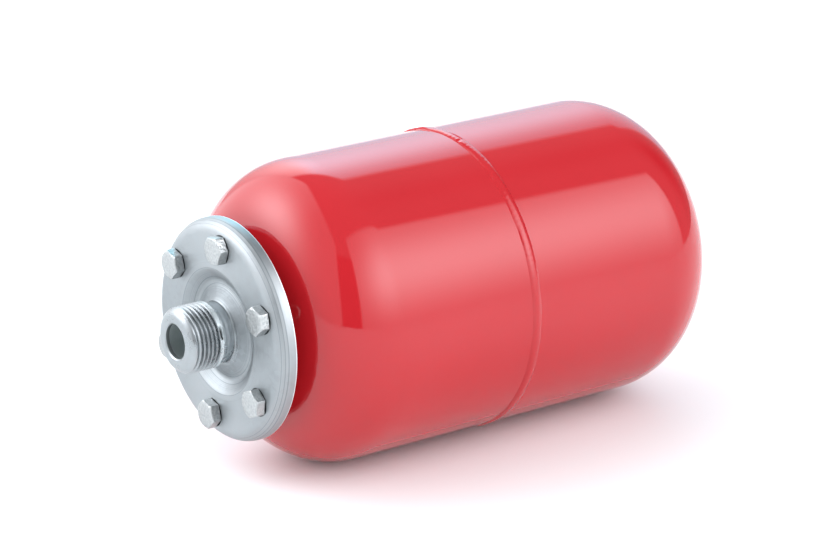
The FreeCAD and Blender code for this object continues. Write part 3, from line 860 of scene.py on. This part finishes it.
class Room(Wiring):
    """The studio round the tank, by bearing (0 towards -Y, 90 towards +X) and height in degrees."""

    def __init__(self):
        world = bpy.data.worlds.new("studio")
        world.use_nodes = True
        bpy.context.scene.world = world
        super().__init__(world.node_tree)
        self.way = self.node("TexCoord", out="Generated")
        self.up = self.node("SeparateXYZ", out="Z", Vector=self.way)
        self.height = self.up.maths("ARCSINE", self.up) * math.degrees(1)

    def along(self, bearing):
        """How far the view goes towards a bearing."""
        angle = math.radians(bearing)
        facing = self.node("VectorMath", {"operation": "DOT_PRODUCT"}, out="Value", Vector=self.way)
        feed(self.tree, facing.socket.node.inputs[1], (math.sin(angle), -math.cos(angle), 0.0))
        return facing

    def bearing_from(self, bearing):
        """Bearing in degrees, counted from another one."""
        ahead, across = self.along(bearing), self.along(bearing + 90)
        return across.maths("ARCTAN2", across, ahead) * math.degrees(1)

    def glow(self, bearing, height, wide, tall):
        """The brighter middle that a lamp makes on its diffuser."""
        across = self.bearing_from(bearing) / wide
        above = (self.height - height) / tall
        return math.e ** ((across * across + above * above) * -1.0)

    def wall(self, light, value, facing, left, right, high, edge=2.0):
        """Puts a value in front of the light, on an upright wall with a level top edge.

        The wall faces the tank from one bearing, reaches from left to right of it and up to
        a height that counts straight ahead."""
        across, ahead = self.bearing_from(facing), self.along(facing)
        slant = ahead.maths("ARCTAN2", self.up, ahead) * math.degrees(1)
        mask = (self.rise(across, left - edge, left + edge)
                * self.fall(across, right - edge, right + edge)
                * self.fall(slant, high - edge, high + edge))
        return light + (value - light) * mask

    def finish(self, colour, strength):
        surface = self.node("Background", Color=colour, Strength=strength)
        output = self.tree.nodes.new("ShaderNodeOutputWorld")
        feed(self.tree, output.inputs["Surface"], surface)


def pale_floor():
    """The matt floor that the tank lies on."""
    finish = Finish("floor")
    cloud = finish.noise(3.0, 2.0, 0.5)
    material = finish.done(
        Base_Color=finish.blend(cloud, rgb(0.86, 0.86, 0.86), rgb(0.90, 0.90, 0.90)), Roughness=0.9)
    mesh = bmesh.new()
    bmesh.ops.create_grid(
        mesh, x_segments=2, y_segments=2, size=4.0,
        matrix=Matrix.Translation((0, 0, FLOOR_Z * MM)))
    data = bpy.data.meshes.new("floor")
    mesh.to_mesh(data)
    mesh.free()
    data.materials.append(material)
    floor = bpy.data.objects.new("floor", data)
    bpy.context.scene.collection.objects.link(floor)


def soft_room():
    """The room of soft lights that the paint and the zinc reflect."""
    room = Room()
    light = 0.44 - 0.38 * room.glow(96, 24, 15, 28)
    left_lamp = 4.6 * room.glow(-134, 36, 29, 19) + 0.9 * room.glow(-180, 30, 75, 60) + 1.0
    front_lamp = 3.9 * room.glow(25, 31, 36, 22) + 1.2
    # the rear lamp is dimmer and less blue on its far side, which the flange reflects
    far_side = room.rise(room.bearing_from(REAR_BEARING), -2.0, 14.0)
    rear_lamp = (3.3 * room.glow(157, 36, 23, 20) + 1.1) * (1.0 - 0.25 * far_side)
    for value, wall in (
            (rear_lamp, REAR_WALL), (left_lamp, LEFT_WALL), (front_lamp, FRONT_WALL),
            (0.12, DARK_SCREEN)):
        light = room.wall(light, value, *wall)
    blue = room.wall(0.0, 1.0, *REAR_WALL) * (1.0 - far_side)
    room.finish(room.blend(blue, rgb(0.98, 1.0, 1.04), rgb(0.55, 1.0, 1.19)), light)


def overhead_lamp():
    """A wide lamp above, which lights the floor and isn't reflected."""
    lamp = bpy.data.lights.new("overhead", "AREA")
    lamp.size, lamp.energy = 2.0, 6.0
    overhead = bpy.data.objects.new("overhead", lamp)
    overhead.location = (0.15, 0, 1.6)
    overhead.visible_glossy = False
    bpy.context.scene.collection.objects.link(overhead)


red = red_paint()
zinc = galvanised_sheet()
plate = zinc_plate()
brass = valve_brass()
seal = rubber("seal_rubber", 0.02)
front_shell(red)
rear_shell(red)
weld_bead(red)
from_solid("mounting_ring", "neck_ring", red, "tank")
fillet_weld(red)
flange(zinc)
flange_bolts(plate)
from_solid("rubber_bladder", "bladder", rubber("bladder_rubber", 0.03), "tank")
from_solid("stem", "valve_stem", brass, "tank")
from_solid("stem_gasket", "valve_gasket", seal, "tank")
from_solid("stem_washer", "valve_washer", plate, "tank")
from_solid("stem_nut", "valve_nut", plate, "tank")
from_solid("core_head", "core_plug", brass, "tank")
from_solid("core_tube", "core_barrel", brass, "tank")
from_solid("core_ring", "core_seal", seal, "tank")
from_solid("valve_pin", "core_pin", brass, "core_pin")
from_solid("pin_cup", "core_cup", brass, "core_pin")
from_solid("pin_cup_ring", "core_cup_seal", seal, "core_pin")
core_spring(spring_steel())
from_solid("cap_disc", "cap_gasket", seal, "cap_liner")
from_solid("dust_cap", "valve_cap", cap_plastic(), "cap")
pale_floor()
soft_room()
overhead_lamp()
camera()
bpy.context.scene.view_settings.view_transform = "Standard"
